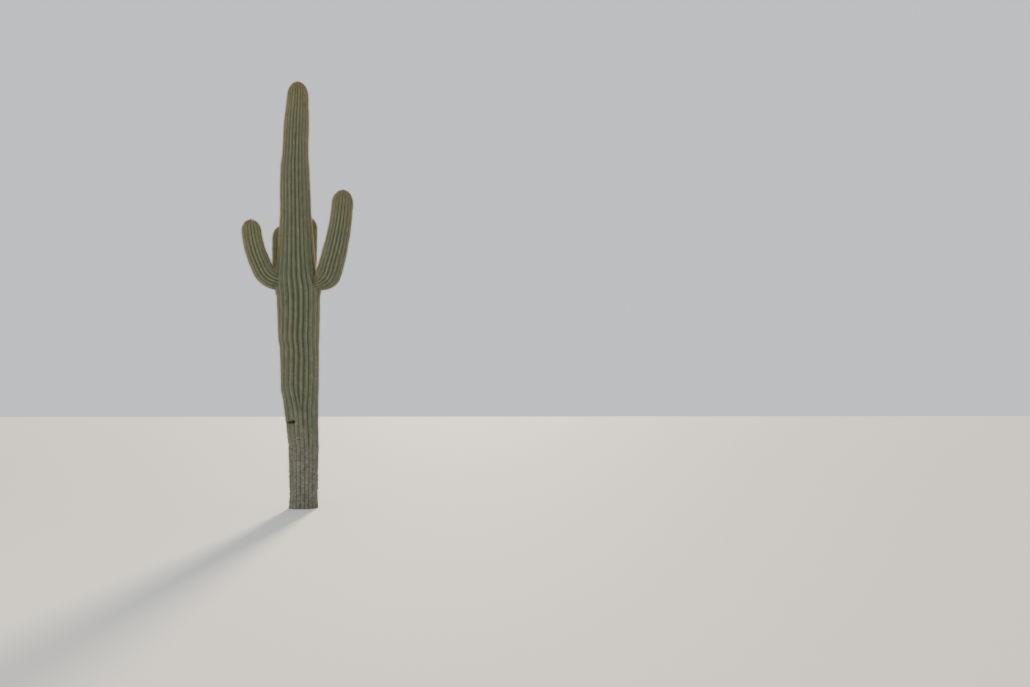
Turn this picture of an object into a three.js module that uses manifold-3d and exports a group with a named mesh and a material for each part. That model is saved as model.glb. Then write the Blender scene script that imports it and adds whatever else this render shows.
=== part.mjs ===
// A saguaro cactus: one tall, slightly bowed trunk with lengthwise ribs, and four short arms that
// leave it at half its height and turn upwards. Each arm is two pieces, an elbow and an upright.
// Millimetres, +Z up. The origin is the middle of the flat cut where the trunk meets the ground.
// The plant is seen from -Y, with +X to the right.
import * as THREE from "three";
import { mergeVertices } from "three/addons/utils/BufferGeometryUtils.js";
import Module from "manifold-3d";

const GAP = 0.3; // clearance between two pieces that touch
const CREST_POINTS = [0.33, 0.67]; // where a rib's crest has its points, as shares of its width
const FURROW_DEPTH = 0.44; // of a rib's width at the crest

const HEIGHT = 6500;
const TRUNK_RIBS = 24;
const TRUNK_DOME = 235; // length of the trunk's rounded tip
const TRUNK_SHADE = 0x66704f;

// From the ground up: height, sideways bow of the axis, and radius over the crests of the ribs.
// The pairs close together are the steps that slow years left on the side towards -X.
const TRUNK_STATIONS = [
  { at: 0, bow: 0, radius: 222 },
  { at: 130, bow: 0, radius: 206 },
  { at: 900, bow: -10, radius: 222 },
  { at: 1270, bow: -37, radius: 237 },
  { at: 1640, bow: -65, radius: 260 },
  { at: 1740, bow: -75, radius: 277 },
  { at: 2420, bow: -93, radius: 289 },
  { at: 2520, bow: -103, radius: 303 },
  { at: 3180, bow: -119, radius: 320 },
  { at: 3310, bow: -128, radius: 330 },
  { at: 3450, bow: -148, radius: 310 },
  { at: 3800, bow: -163, radius: 268 },
  { at: 4450, bow: -179, radius: 230 },
  { at: 4850, bow: -193, radius: 225 },
  { at: 5200, bow: -200, radius: 212 },
  { at: 5380, bow: -197, radius: 192 },
  { at: 5870, bow: -187, radius: 188 },
  { at: 6060, bow: -180, radius: 172 },
  { at: HEIGHT - TRUNK_DOME, bow: -173, radius: 158 },
];

// Where two ribs of the trunk grow out of one: the first rib of the pair, and the fork's height.
const FORKS = [
  { rib: 2, height: 2300 },
  { rib: 8, height: 1900 },
  { rib: 11, height: 2600 },
  { rib: 17, height: 1520 },
];
const FORK_LENGTH = 200; // the stretch over which the new furrow opens
const FORK_WIDENING = 480; // the stretch over which both ribs grow to their full width

// Azimuth is counterclockwise from +X, seen from above. Climbs are angles above level: where the
// arm leaves the trunk, past the elbow, and at the tip. Neck, elbow and tip are radii over the ribs,
// and joint is the height where the arm leaves the trunk.
const ARMS = [
  { name: "left", azimuth: 186, joint: 3422, neck: 145, elbow: 152, tip: 143, ribs: 17,
    climb: [18, 66, 86.5], bend: 295, length: 1028 },
  { name: "right", azimuth: -22, joint: 3386, neck: 122, elbow: 186, tip: 158, ribs: 20,
    climb: [16, 74.5, 86.5], bend: 300, length: 1520 },
  { name: "back_left", azimuth: 118, joint: 3370, neck: 104, elbow: 153, tip: 146, ribs: 18,
    climb: [16, 84, 90], bend: 290, length: 1055 },
  { name: "back_right", azimuth: 72, joint: 3560, neck: 104, elbow: 153, tip: 146, ribs: 18,
    climb: [16, 84, 90], bend: 290, length: 1027 },
];
const ARM_SWELL = 210; // from the neck to the arm's full thickness
const ARM_ROOT = 90; // how far an arm's axis starts inside the trunk, before it is cut clear
const ARM_DOME = 1.3; // length of an arm's rounded tip, in tip radii
const ARM_SHADE = 0x6f7853;

const DOME_RINGS = 5;
const POLE_SPAN = 0.6; // from a dome's last ring to its pole, in the spacing of its rings
const ELBOW_SPANS = 6; // stretches between an elbow's rings
const UPRIGHT_SPANS = 5;
const WALK = 5; // step in which an arm's curved axis is followed
const WELD = 1e-3; // points this close are one

const degrees = THREE.MathUtils.degToRad;
const { lerp, smoothstep } = THREE.MathUtils;

const wasm = await Module();
wasm.setup();

// A value of the trunk at a height, between its stations.
function trunkAt(key, height) {
  const above = TRUNK_STATIONS.findIndex((station) => station.at >= height);
  if (above < 1) return TRUNK_STATIONS[above < 0 ? TRUNK_STATIONS.length - 1 : 0][key];
  const [low, high] = [TRUNK_STATIONS[above - 1], TRUNK_STATIONS[above]];
  return lerp(low[key], high[key], (height - low.at) / (high.at - low.at));
}

// The rings of a rounded tip, from its shoulder to just short of its pole.
function domeRings(shoulder, length, radius) {
  return Array.from({ length: DOME_RINGS }, (_, i) => {
    const turn = ((i + 1) / (DOME_RINGS + POLE_SPAN)) * (Math.PI / 2);
    return { at: shoulder + length * Math.sin(turn), radius: radius * Math.cos(turn) };
  });
}

// Where a fork begins to open, where its furrow is open, and where its ribs have their full width.
function forkHeights(fork) {
  const foot = fork.height - FORK_LENGTH / 2;
  return [foot, foot + FORK_LENGTH, foot + FORK_WIDENING];
}

// Each rib's place and share of the turn at a height, and how open the furrow before it is. Below
// its fork a pair of ribs has one rib's width, and the furrow between them is closed. The ribs on
// both sides make room for the new one evenly.
function ribsAt(count, forks, height) {
  const ribs = Array.from({ length: count }, () => ({ width: 1, furrow: 1 }));
  for (const fork of forks) {
    const [foot, open, wide] = forkHeights(fork);
    const width = lerp(0.5, 1, smoothstep(height, foot, wide));
    ribs[fork.rib].width = width;
    ribs[fork.rib + 1].width = width;
    ribs[fork.rib + 1].furrow = smoothstep(height, foot, open);
  }
  const total = ribs.reduce((sum, rib) => sum + rib.width, 0);
  let edge = 0;
  let strayed = 0;
  ribs.forEach((rib, i) => {
    rib.start = edge / total;
    rib.share = rib.width / total;
    edge += rib.width;
    strayed += rib.start + rib.share / 2 - (i + 0.5) / count;
  });
  for (const rib of ribs) rib.start -= strayed / count;
  return ribs;
}

// A closed ribbed limb: a lathed club whose vertices move to the ribs and furrows, and to the limb's
// own axis. Each ring has its place along the limb and its radius over the ribs, the last point of
// the axis is at end, and frameAt gives the middle of a section and two directions across it.
function limbGeometry(rings, end, ribCount, forks, frameAt) {
  const rows = [{ at: rings[0].at, radius: 0 }, ...rings, { at: end, radius: 0 }];
  const ribPoints = [0, ...CREST_POINTS];
  const columns = ribCount * ribPoints.length;
  const profile = rows.map((row) => new THREE.Vector2(row.radius, row.at));
  const geometry = new THREE.LatheGeometry(profile, columns);
  const position = geometry.getAttribute("position");
  const furrowDepth = (FURROW_DEPTH * 2 * Math.PI) / ribCount;
  const point = new THREE.Vector3();
  rows.forEach((row, rowIndex) => {
    const ribs = ribsAt(ribCount, forks, row.at);
    const { middle, across, along } = frameAt(row.at);
    for (let column = 0; column <= columns; column += 1) {
      const rib = ribs[Math.floor(column / ribPoints.length) % ribCount];
      const ribPoint = ribPoints[column % ribPoints.length];
      const angle = 2 * Math.PI * (rib.start + ribPoint * rib.share);
      const sunk = ribPoint === 0 ? furrowDepth * rib.furrow : 0;
      const radius = row.radius * (1 - sunk);
      point.copy(middle).addScaledVector(across, radius * Math.cos(angle));
      point.addScaledVector(along, radius * Math.sin(angle));
      position.setXYZ(column * rows.length + rowIndex, point.x, point.y, point.z);
    }
  });
  geometry.deleteAttribute("normal");
  geometry.deleteAttribute("uv");
  return mergeVertices(geometry, WELD);
}

// The trunk, or the same shape grown outwards, which is what its arms are cut clear of. It has rings
// at its stations and up its forks.
function trunkGeometry(grown = 0) {
  const shoulder = HEIGHT - TRUNK_DOME;
  const stationHeights = TRUNK_STATIONS.map((station) => station.at);
  const heights = [...stationHeights, ...FORKS.flatMap(forkHeights)].sort((a, b) => a - b);
  const straight = heights.map((at) => ({ at, radius: trunkAt("radius", at) }));
  const tip = domeRings(shoulder, TRUNK_DOME, trunkAt("radius", shoulder));
  const rings = [...straight, ...tip].map(({ at, radius }) => ({ at, radius: radius + grown }));
  return limbGeometry(rings, HEIGHT, TRUNK_RIBS, FORKS, (at) => ({
    middle: new THREE.Vector3(trunkAt("bow", at), 0, at),
    across: new THREE.Vector3(1, 0, 0),
    along: new THREE.Vector3(0, 1, 0),
  }));
}

// The direction of an arm's axis at a distance along it from the trunk's surface.
function armDirection(arm, outwards, distance) {
  const turned = smoothstep(distance, 0, arm.bend);
  const straightened = smoothstep(distance, arm.bend, arm.length);
  const [leaving, past, atTip] = arm.climb;
  const climb = degrees(lerp(leaving, past, turned) + (atTip - past) * straightened);
  return outwards.clone().multiplyScalar(Math.cos(climb)).setZ(Math.sin(climb));
}

// The middle of an arm's section at a distance along it, and two directions across it.
function armFrame(arm, distance) {
  const azimuth = degrees(arm.azimuth);
  const outwards = new THREE.Vector3(Math.cos(azimuth), Math.sin(azimuth), 0);
  const level = new THREE.Vector3(-outwards.y, outwards.x, 0);
  const middle = new THREE.Vector3(trunkAt("bow", arm.joint), 0, arm.joint);
  middle.addScaledVector(outwards, trunkAt("radius", arm.joint));
  const steps = Math.max(1, Math.ceil(Math.abs(distance) / WALK));
  for (let i = 0; i < steps; i += 1) {
    const stepMiddle = ((i + 0.5) / steps) * distance;
    middle.addScaledVector(armDirection(arm, outwards, stepMiddle), distance / steps);
  }
  return { middle, across: level.clone().cross(armDirection(arm, outwards, distance)), along: level };
}

// Where an arm's rounded tip begins.
function armShoulder(arm) {
  return arm.length - arm.tip * ARM_DOME;
}

// Evenly spaced rings along an arm: it swells from its neck, and past the elbow thins to its tip.
function armRings(arm, from, to, spans) {
  return Array.from({ length: spans + 1 }, (_, i) => {
    const at = lerp(from, to, i / spans);
    const swollen = lerp(arm.neck, arm.elbow, smoothstep(at, 0, ARM_SWELL));
    const thinned = (arm.tip - arm.elbow) * smoothstep(at, arm.bend, armShoulder(arm));
    return { at, radius: swollen + thinned };
  });
}

function elbowGeometry(arm) {
  const rings = armRings(arm, -ARM_ROOT, arm.bend, ELBOW_SPANS);
  return limbGeometry(rings, arm.bend, arm.ribs, [], (at) => armFrame(arm, at));
}

function uprightGeometry(arm) {
  const shoulder = armShoulder(arm);
  const straight = armRings(arm, arm.bend + GAP, shoulder, UPRIGHT_SPANS);
  const rings = [...straight, ...domeRings(shoulder, arm.length - shoulder, arm.tip)];
  return limbGeometry(rings, arm.length, arm.ribs, [], (at) => armFrame(arm, at));
}

function toSolid(geometry) {
  return new wasm.Manifold(
    new wasm.Mesh({
      numProp: 3,
      vertProperties: geometry.getAttribute("position").array,
      triVerts: new Uint32Array(geometry.index.array),
    }),
  );
}

function toGeometry(solid) {
  const mesh = solid.getMesh();
  return new THREE.BufferGeometry()
    .setAttribute("position", new THREE.BufferAttribute(mesh.vertProperties, 3))
    .setIndex(new THREE.BufferAttribute(mesh.triVerts, 1));
}

function limbMesh(name, geometry, colour) {
  const material = new THREE.MeshStandardMaterial({ color: colour, roughness: 0.75, metalness: 0 });
  const mesh = new THREE.Mesh(geometry, material);
  mesh.name = name;
  return mesh;
}

const cactus = new THREE.Group();
cactus.add(limbMesh("trunk", trunkGeometry(), TRUNK_SHADE));

const trunkClearance = toSolid(trunkGeometry(GAP * 2));
for (const arm of ARMS) {
  const elbow = toSolid(elbowGeometry(arm)).subtract(trunkClearance);
  const upright = toSolid(uprightGeometry(arm)).subtract(trunkClearance);
  cactus.add(limbMesh(`arm_${arm.name}_elbow`, toGeometry(elbow), ARM_SHADE));
  cactus.add(limbMesh(`arm_${arm.name}_upright`, toGeometry(upright), ARM_SHADE));
}

export default cactus;
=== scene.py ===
"""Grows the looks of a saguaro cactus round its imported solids: ribbed skins, areoles and spines.

Every limb is modelled as a straight ribbed club, carved, and then bent along its own axis, which
follows the same driving sizes as the solids. Metres, +Z up. The plant is seen from -Y.
"""
import math
from dataclasses import dataclass

import bmesh
import bpy
import numpy as np
from bpy.props import FloatProperty, FloatVectorProperty, IntProperty, PointerProperty
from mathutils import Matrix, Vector, noise
from mathutils.bvhtree import BVHTree


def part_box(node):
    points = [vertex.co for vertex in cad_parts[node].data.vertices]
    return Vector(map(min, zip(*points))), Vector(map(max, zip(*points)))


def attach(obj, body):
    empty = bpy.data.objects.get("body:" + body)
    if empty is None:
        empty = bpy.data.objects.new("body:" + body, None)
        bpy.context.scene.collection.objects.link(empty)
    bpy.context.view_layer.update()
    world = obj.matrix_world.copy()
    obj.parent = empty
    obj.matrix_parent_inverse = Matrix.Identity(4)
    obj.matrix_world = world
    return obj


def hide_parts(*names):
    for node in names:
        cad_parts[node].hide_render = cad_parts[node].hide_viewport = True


bl_info = {
    "name": "Saguaro cactus",
    "version": (1, 0, 0),
    "blender": (4, 5, 0),
    "location": "View3D > Sidebar > Cactus",
    "description": "Grows the ribbed skins, areoles and spines of a saguaro",
    "category": "Object",
}

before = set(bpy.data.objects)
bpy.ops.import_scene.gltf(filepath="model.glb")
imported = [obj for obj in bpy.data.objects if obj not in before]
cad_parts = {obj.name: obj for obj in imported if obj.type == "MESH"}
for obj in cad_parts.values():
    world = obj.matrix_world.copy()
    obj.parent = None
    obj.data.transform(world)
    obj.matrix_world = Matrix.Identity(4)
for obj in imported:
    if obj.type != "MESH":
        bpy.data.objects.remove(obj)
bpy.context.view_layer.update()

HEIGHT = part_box("trunk")[1].z
TRUNK_RIBS = 24
TRUNK_DOME = 0.235
# Stations up the trunk: height, sideways bow of its axis, and radius over the ribs.
TRUNK_STATIONS = (
    (0.000, 0.000, 0.222),
    (0.130, 0.000, 0.206),
    (0.900, -0.010, 0.222),
    (1.270, -0.037, 0.237),
    (1.640, -0.065, 0.260),
    (1.740, -0.075, 0.277),
    (2.420, -0.093, 0.289),
    (2.520, -0.103, 0.303),
    (3.180, -0.119, 0.320),
    (3.310, -0.128, 0.330),
    (3.450, -0.148, 0.310),
    (3.800, -0.163, 0.268),
    (4.450, -0.179, 0.230),
    (4.850, -0.193, 0.225),
    (5.200, -0.200, 0.212),
    (5.380, -0.197, 0.192),
    (5.870, -0.187, 0.188),
    (6.060, -0.180, 0.172),
    (HEIGHT - TRUNK_DOME, -0.173, 0.158),
)
# Where two ribs grow out of one: the first rib of the pair, and the fork's height.
TRUNK_FORKS = ((2, 2.30), (8, 1.90), (11, 2.60), (17, 1.52))
FORK_LENGTH = 0.20  # the furrow between the two opens over this
FORK_WIDENING = 0.48  # and they grow to full width over this

# Azimuth is counterclockwise from +X, in degrees. An arm leaves the trunk at the joint's height,
# and its elbow ends at bend, up its own axis. Climbs are degrees above level where the arm leaves
# the trunk, past its elbow and at its tip. Neck, elbow and tip are radii over the ribs.
ARMS = {
    "left": dict(azimuth=186, joint=3.422, neck=0.145, elbow=0.152, tip=0.143, ribs=17,
                 climb=(18, 66, 86.5), bend=0.295, length=1.028),
    "right": dict(azimuth=-22, joint=3.386, neck=0.122, elbow=0.186, tip=0.158, ribs=20,
                  climb=(16, 74.5, 86.5), bend=0.300, length=1.520),
    "back_left": dict(azimuth=118, joint=3.370, neck=0.104, elbow=0.153, tip=0.146, ribs=18,
                      climb=(16, 84, 90), bend=0.290, length=1.055),
    "back_right": dict(azimuth=72, joint=3.560, neck=0.104, elbow=0.153, tip=0.146, ribs=18,
                       climb=(16, 84, 90), bend=0.290, length=1.027),
}
ARM_SWELL = 0.21  # the neck swells to the elbow's radius over this
ARM_ROOT = 0.09  # how deep in the trunk an arm starts
ARM_DOME = 1.3  # how tall its rounded tip is, in radii

# The steps of the limbs' tables, up a shaft and over a dome.
TABLE_STEP = 0.0025
DOME_STEPS = 60
STATION_ROUNDING = 0.05  # the trunk's corners are smoothed over this
MM = 0.001
TURN = 2 * math.pi


def smooth(value, low, high):
    """0 below low, 1 above high, and an even S between them."""
    t = np.clip((value - low) / (high - low), 0, 1)
    return t * t * (3 - 2 * t)


def mix(low, high, share):
    return low + (high - low) * share


def unit(ways):
    """Each direction with a length of 1. One that has no length stays as it is."""
    length = np.linalg.norm(ways, axis=1, keepdims=True)
    return ways / np.where(length > 0, length, 1)


def linear(colour):
    """An sRGB hex colour as the linear values that a socket takes."""
    shades = [int(colour[i:i + 2], 16) / 255 for i in (1, 3, 5)]
    return tuple(s / 12.92 if s <= 0.04045 else ((s + 0.055) / 1.055) ** 2.4 for s in shades)


@dataclass(eq=False)
class Limb:
    """A limb's axis and thickness, as tables over the distance up that axis."""

    name: str
    nodes: list
    ribs: int
    forks: tuple
    shoulder: float  # where the shaft ends and the dome starts
    at: np.ndarray  # the tables' distances
    middle: np.ndarray  # the axis's points
    out: np.ndarray  # one way across the axis at each point
    level: np.ndarray  # the other way across, which is the same all along
    reach: np.ndarray  # radii over the ribs

    def __post_init__(self):
        arc = np.r_[0, np.cumsum(np.hypot(np.diff(self.at), np.diff(self.reach)))]
        self.from_tip = arc[-1] - arc

    def radius(self, distance):
        """Over the crests of the ribs."""
        return np.interp(distance, self.at, self.reach)

    def slope(self, distance):
        """How fast the limb thickens upwards."""
        return np.interp(distance, self.at, np.gradient(self.reach, self.at))

    def age(self, distance):
        """The way over the skin from the tip, in metres."""
        return np.interp(distance, self.at, self.from_tip)

    def below_tip(self, age):
        """The distance up the axis of a place that lies this far from the tip."""
        return np.interp(age, self.from_tip[::-1], self.at[::-1])

    def frame_at(self, distance):
        """The axis point, the two directions across it, and the way up."""
        middle = spread(distance, self.at, self.middle)
        out = unit(spread(distance, self.at, self.out))
        return middle, out, self.level, np.cross(out, self.level)


def spread(distance, at, rows):
    """Each column of a table of points, at every distance."""
    return np.stack([np.interp(distance, at, column) for column in rows.T], 1)


def with_dome(at, reach, length):
    """Adds a limb's rounded tip to its tables of distance and radius."""
    turn = np.linspace(0, math.pi / 2, DOME_STEPS + 1)[1:]
    dome = at[-1] + (length - at[-1]) * np.sin(turn)
    return np.r_[at, dome], np.r_[reach, reach[-1] * np.cos(turn)]


def rounded(values, step, width):
    """Values with their corners smoothed over a width."""
    window = np.hanning(2 * int(width / step) + 1)
    padded = np.pad(values, len(window) // 2, mode="edge")
    return np.convolve(padded, window / window.sum(), mode="valid")


def trunk_limb():
    heights, bows, radii = np.array(TRUNK_STATIONS).T
    shoulder = heights[-1]
    at = np.linspace(0, shoulder, int(shoulder / TABLE_STEP) + 1)
    step = at[1]
    bow = rounded(np.interp(at, heights, bows), step, STATION_ROUNDING)
    reach = rounded(np.interp(at, heights, radii), step, STATION_ROUNDING)
    at, reach = with_dome(at, reach, HEIGHT)
    bow = np.r_[bow, np.full(DOME_STEPS, bow[-1])]
    middle = np.stack([bow, np.zeros_like(at), at], 1)
    out = np.tile((1.0, 0.0, 0.0), (len(at), 1))
    level = np.array((0.0, 1.0, 0.0))
    # The axis bows by only a few degrees, so its sections stay level, as the solid's are.
    return Limb("trunk", ["trunk"], TRUNK_RIBS, TRUNK_FORKS, shoulder, at, middle, out, level, reach)


def arm_limb(name):
    arm = ARMS[name]
    shoulder = arm["length"] - arm["tip"] * ARM_DOME
    count = int((shoulder + ARM_ROOT) / TABLE_STEP) + 1
    at = np.linspace(-ARM_ROOT, shoulder, count)
    swollen = mix(arm["neck"], arm["elbow"], smooth(at, 0, ARM_SWELL))
    reach = swollen + (arm["tip"] - arm["elbow"]) * smooth(at, arm["bend"], shoulder)
    at, reach = with_dome(at, reach, arm["length"])
    leaving, past, at_tip = arm["climb"]
    climb = mix(leaving, past, smooth(at, 0, arm["bend"]))
    climb = np.radians(climb + (at_tip - past) * smooth(at, arm["bend"], arm["length"]))
    azimuth = math.radians(arm["azimuth"])
    outwards = np.array((math.cos(azimuth), math.sin(azimuth), 0))
    upwards = np.array((0.0, 0.0, 1.0))
    level = np.cross(upwards, outwards)
    way = np.outer(np.cos(climb), outwards) + np.outer(np.sin(climb), upwards)
    steps = (way[1:] + way[:-1]) / 2 * np.diff(at)[:, None]
    middle = np.vstack([np.zeros(3), np.cumsum(steps, 0)])
    heights, bows, radii = np.array(TRUNK_STATIONS).T
    start = np.array((np.interp(arm["joint"], heights, bows), 0, arm["joint"]))
    start = start + outwards * np.interp(arm["joint"], heights, radii)
    middle += start - spread([0.0], at, middle)[0]
    nodes = [f"arm_{name}_elbow", f"arm_{name}_upright"]
    out = np.cross(level, way)
    return Limb(f"arm_{name}", nodes, arm["ribs"], (), shoulder, at, middle, out, level, reach)


LIMBS = [trunk_limb()] + [arm_limb(name) for name in ARMS]


# The seed of the trunk's random draws for each use. An arm adds its place in the list.
SEEDS = {"ages": 40, "sway": 40, "swell": 50, "ribs": 60, "areoles": 110, "spines": 540}
SEEDS_APART = 1000  # between the ribs' own draws of one limb and those of the next


def seed_for(limb, use):
    return SEEDS[use] + LIMBS.index(limb)


def rib_layout(limb, distance):
    """Where each rib starts, and its share, as parts of a turn, and how open its first furrow is.

    Below its fork a pair of ribs has one rib's width, and the furrow between them is closed. The
    ribs on both sides make room for the new one evenly.
    """
    width = np.ones((len(distance), limb.ribs))
    opened = np.ones_like(width)
    for rib, height in limb.forks:
        foot = height - FORK_LENGTH / 2
        widened = mix(0.5, 1, smooth(distance, foot, foot + FORK_WIDENING))
        width[:, rib] = widened
        width[:, rib + 1] = widened
        opened[:, rib + 1] = smooth(distance, foot, foot + FORK_LENGTH)
    share = width / width.sum(1, keepdims=True)
    start = np.cumsum(share, 1) - share
    even = (np.arange(limb.ribs) + 0.5) / limb.ribs
    strayed = (start + share / 2 - even).mean(1, keepdims=True)
    return start - strayed, share, opened


def ripple(distance, angle, seed, size, waves):
    """A sum of slow waves up and round a limb; each wave has a length and a number round the limb."""
    chance = np.random.default_rng(seed)
    total = 0
    for length, turns in waves:
        total = total + np.sin(TURN * distance / length + turns * angle + chance.uniform(0, TURN))
    return size * total / len(waves)


# Clubs


TRUNK_RING_GAP = 0.058
ARM_RING_GAP = 0.045
DOME_RINGS = 9
POLE_SPAN = 0.45  # from the last ring to the pole, in gaps between the dome's rings
FURROW_DEPTH = 0.44  # as a share of a rib's width
IN_FURROW = 0.25  # a point nearer to a furrow than this, in ribs, lies in it
SUBDIVISION = 2
SCAR_RINGS = 1.6  # how far from the scar the rings are doubled, in gaps between rings


def ring_distances(limb):
    """Where a club's rings lie: evenly up its shaft, and by even turns over its dome.

    The trunk has twice as many round its scar.
    """
    gap = TRUNK_RING_GAP if limb.name == "trunk" else ARM_RING_GAP
    count = round((limb.shoulder - limb.at[0]) / gap)
    shaft = np.linspace(limb.at[0], limb.shoulder, count + 1)
    if limb.name == "trunk":
        halfway = (shaft[1:] + shaft[:-1]) / 2
        by_scar = np.abs(halfway - SCAR["height"]) < SCAR_RINGS * gap
        shaft = np.sort(np.r_[shaft, halfway[by_scar]])
    turn = np.arange(1, DOME_RINGS + 1) / (DOME_RINGS + POLE_SPAN) * math.pi / 2
    return np.r_[shaft, limb.shoulder + (limb.at[-1] - limb.shoulder) * np.sin(turn)]


def raise_club(limb):
    """Models the straight club: a ring of crests and furrows, pulled up ring by ring to a pole."""
    rings = ring_distances(limb)
    radii = limb.radius(rings)
    furrow_depth = FURROW_DEPTH * TURN / limb.ribs
    bpy.ops.object.select_all(action="DESELECT")
    bpy.ops.mesh.primitive_circle_add(
        vertices=2 * limb.ribs, radius=radii[0], fill_type="NOTHING",
        location=(0, 0, rings[0]), rotation=(0, 0, -math.pi / 2),
    )
    club = bpy.context.object
    club.name = f"skin_{limb.name}"
    bpy.ops.object.transform_apply(location=True, rotation=True)
    bpy.ops.object.mode_set(mode="EDIT")
    select_furrows(club, limb.ribs)
    bpy.ops.transform.resize(value=(1 - furrow_depth, 1 - furrow_depth, 1))
    bpy.ops.mesh.select_all(action="SELECT")
    for low in range(len(rings) - 1):
        rise = rings[low + 1] - rings[low]
        bpy.ops.mesh.extrude_region_move(TRANSFORM_OT_translate={"value": (0, 0, rise)})
        grown = radii[low + 1] / radii[low]
        bpy.ops.transform.resize(value=(grown, grown, 1))
    rise = limb.at[-1] - rings[-1]
    bpy.ops.mesh.extrude_region_move(TRANSFORM_OT_translate={"value": (0, 0, rise)})
    bpy.ops.mesh.merge(type="CENTER")
    bpy.ops.mesh.select_all(action="SELECT")
    bpy.ops.mesh.normals_make_consistent(inside=False)
    select_furrows(club, limb.ribs)
    bpy.ops.transform.edge_crease(value=1)
    bpy.ops.object.mode_set(mode="OBJECT")
    finer = club.modifiers.new("finer", "SUBSURF")
    finer.levels = SUBDIVISION
    finer.render_levels = SUBDIVISION
    bpy.ops.object.modifier_apply(modifier=finer.name)
    return club


def select_furrows(club, ribs):
    """Selects every point that lies in a furrow, and the edges that run up the furrows."""
    model = bmesh.from_edit_mesh(club.data)
    for point in model.verts:
        turn = math.atan2(point.co.y, point.co.x) / TURN * ribs
        on_axis = math.hypot(point.co.x, point.co.y) < MM
        point.select = abs(turn - round(turn)) < IN_FURROW and not on_axis
    for face in model.faces:
        face.select = False
    for edge in model.edges:
        edge.select = all(point.select for point in edge.verts)
    bmesh.update_edit_mesh(club.data)


def points_of(mesh):
    points = np.empty(len(mesh.vertices) * 3)
    mesh.vertices.foreach_get("co", points)
    return points.reshape(-1, 3)


def set_points(mesh, points):
    mesh.vertices.foreach_set("co", np.ascontiguousarray(points, dtype=np.float32).ravel())
    mesh.update()


# Carving


# How unevenly limbs grow. Their ribs stray sideways, in radians. Their radius swells, stands out
# at a rib and shrinks at a waist, in shares of itself.
SWAY = 0.007
SWAY_START = (0.0, 0.5)  # the ages over which ribs begin to stray
SWAY_WAVES = ((1.9, 0), (0.83, 1), (0.47, 2))
SWELL = 0.010
SWELL_START = (0.03, 0.25)  # the ages over which uneven growth begins
SWELL_WAVES = ((0.62, 1), (0.35, 2), (0.24, 0), (0.9, 3))
RIB_UNEVENNESS = 0.010
WAISTS = {  # heights up each limb where a dry year left it thinner
    "trunk": (3.62, 3.98, 4.22, 4.62, 4.98, 5.62, 5.93, 6.13),
    "arm_left": (0.52, 0.74),
    "arm_right": (0.46, 0.72, 1.00, 1.21),
    "arm_back_left": (0.50, 0.76),
    "arm_back_right": (0.48, 0.73),
}
WAIST_DEPTH = 0.014
WAIST_WIDTH = 0.030
# Furrows have only this share of their depth in bark, at an arm's foot and at the crown. They
# are at full depth this far from the foot or the crown.
BARK_FURROWS = 0.72
ARM_FOOT_FURROWS = dict(share=0.75, reach=0.16)
CROWN_FURROWS = dict(share=0.6, reach=0.12)
# The scar's height and azimuth, its half-width as an angle, and how tall and deep it is.
SCAR = dict(height=1.283, azimuth=math.radians(218), across=math.radians(29), tall=0.026, deep=0.026)
SCAR_SLOPE = 0.028  # how much higher it lies for each radian towards +X
SCAR_ENDS = (0.45, 1.25)  # the parts of its half-width between which it dies away
SCAR_THINNEST = 0.3  # how tall its ends are, as a share of its middle
# Its middle line and its height waver along it, by waves with lengths in radians.
SCAR_RAGGED = dict(seed=8, size=0.007, waves=((0.43, 0), (0.19, 0), (0.09, 0)))
SCAR_UNEVEN = dict(seed=9, size=0.35, waves=((0.31, 0), (0.17, 0)))
# Bark reaches this high on average, higher by this much on its tallest side, and fades below.
BARK = dict(top=1.10, taller=0.26, azimuth=math.radians(222), fade=0.34)
# Its edge wavers round the trunk only, so these waves' lengths don't matter.
BARK_EDGE = dict(seed=5, size=0.36, waves=((1, 2), (1, 5), (1, 9), (1, 14)))
# Bark has lumps, crumbs and level bands: how many to a metre, and how high it all stands.
BARK_LUMPS = 24
BARK_CRUMBS = 60
BARK_BANDS = Vector((5, 5, 26))
CRUMB_SHARE = 0.7
BARK_HEIGHT = 5 * MM
LEAST_BARK = 0.02  # less than this has no relief
# The collar round each arm: its height, its distance from the arm, width and furthest reach.
COLLAR = dict(height=12 * MM, away=30 * MM, width=40 * MM, reach=0.4)


def crest_sway(limb, distance, angle):
    """How far the ribs stray sideways, as an angle. It dies away at the tip."""
    size = SWAY * smooth(limb.age(distance), *SWAY_START)
    return ripple(distance, angle, seed_for(limb, "sway"), size, SWAY_WAVES)


def swelling(limb, distance, angle):
    """The limb's uneven growth, as a factor on its radius."""
    factor = 1 + ripple(distance, angle, seed_for(limb, "swell"), SWELL, SWELL_WAVES)
    for waist in WAISTS[limb.name]:
        factor = factor - WAIST_DEPTH * np.exp(-((distance - waist) / WAIST_WIDTH) ** 2)
    return mix(1, factor, smooth(limb.age(distance), *SWELL_START))


def rib_traits(limb):
    """How far each rib stands out, and how light it is."""
    chance = np.random.default_rng(seed_for(limb, "ribs"))
    return chance.uniform(-1, 1, limb.ribs) * RIB_UNEVENNESS, chance.uniform(-1, 1, limb.ribs)


def furrow_drop(phase):
    """How far a rounded rib has dropped from its crest, which is at half its width, to its furrow."""
    return 1 - np.cos(math.pi / 2 * np.abs(2 * phase - 1))


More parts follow.
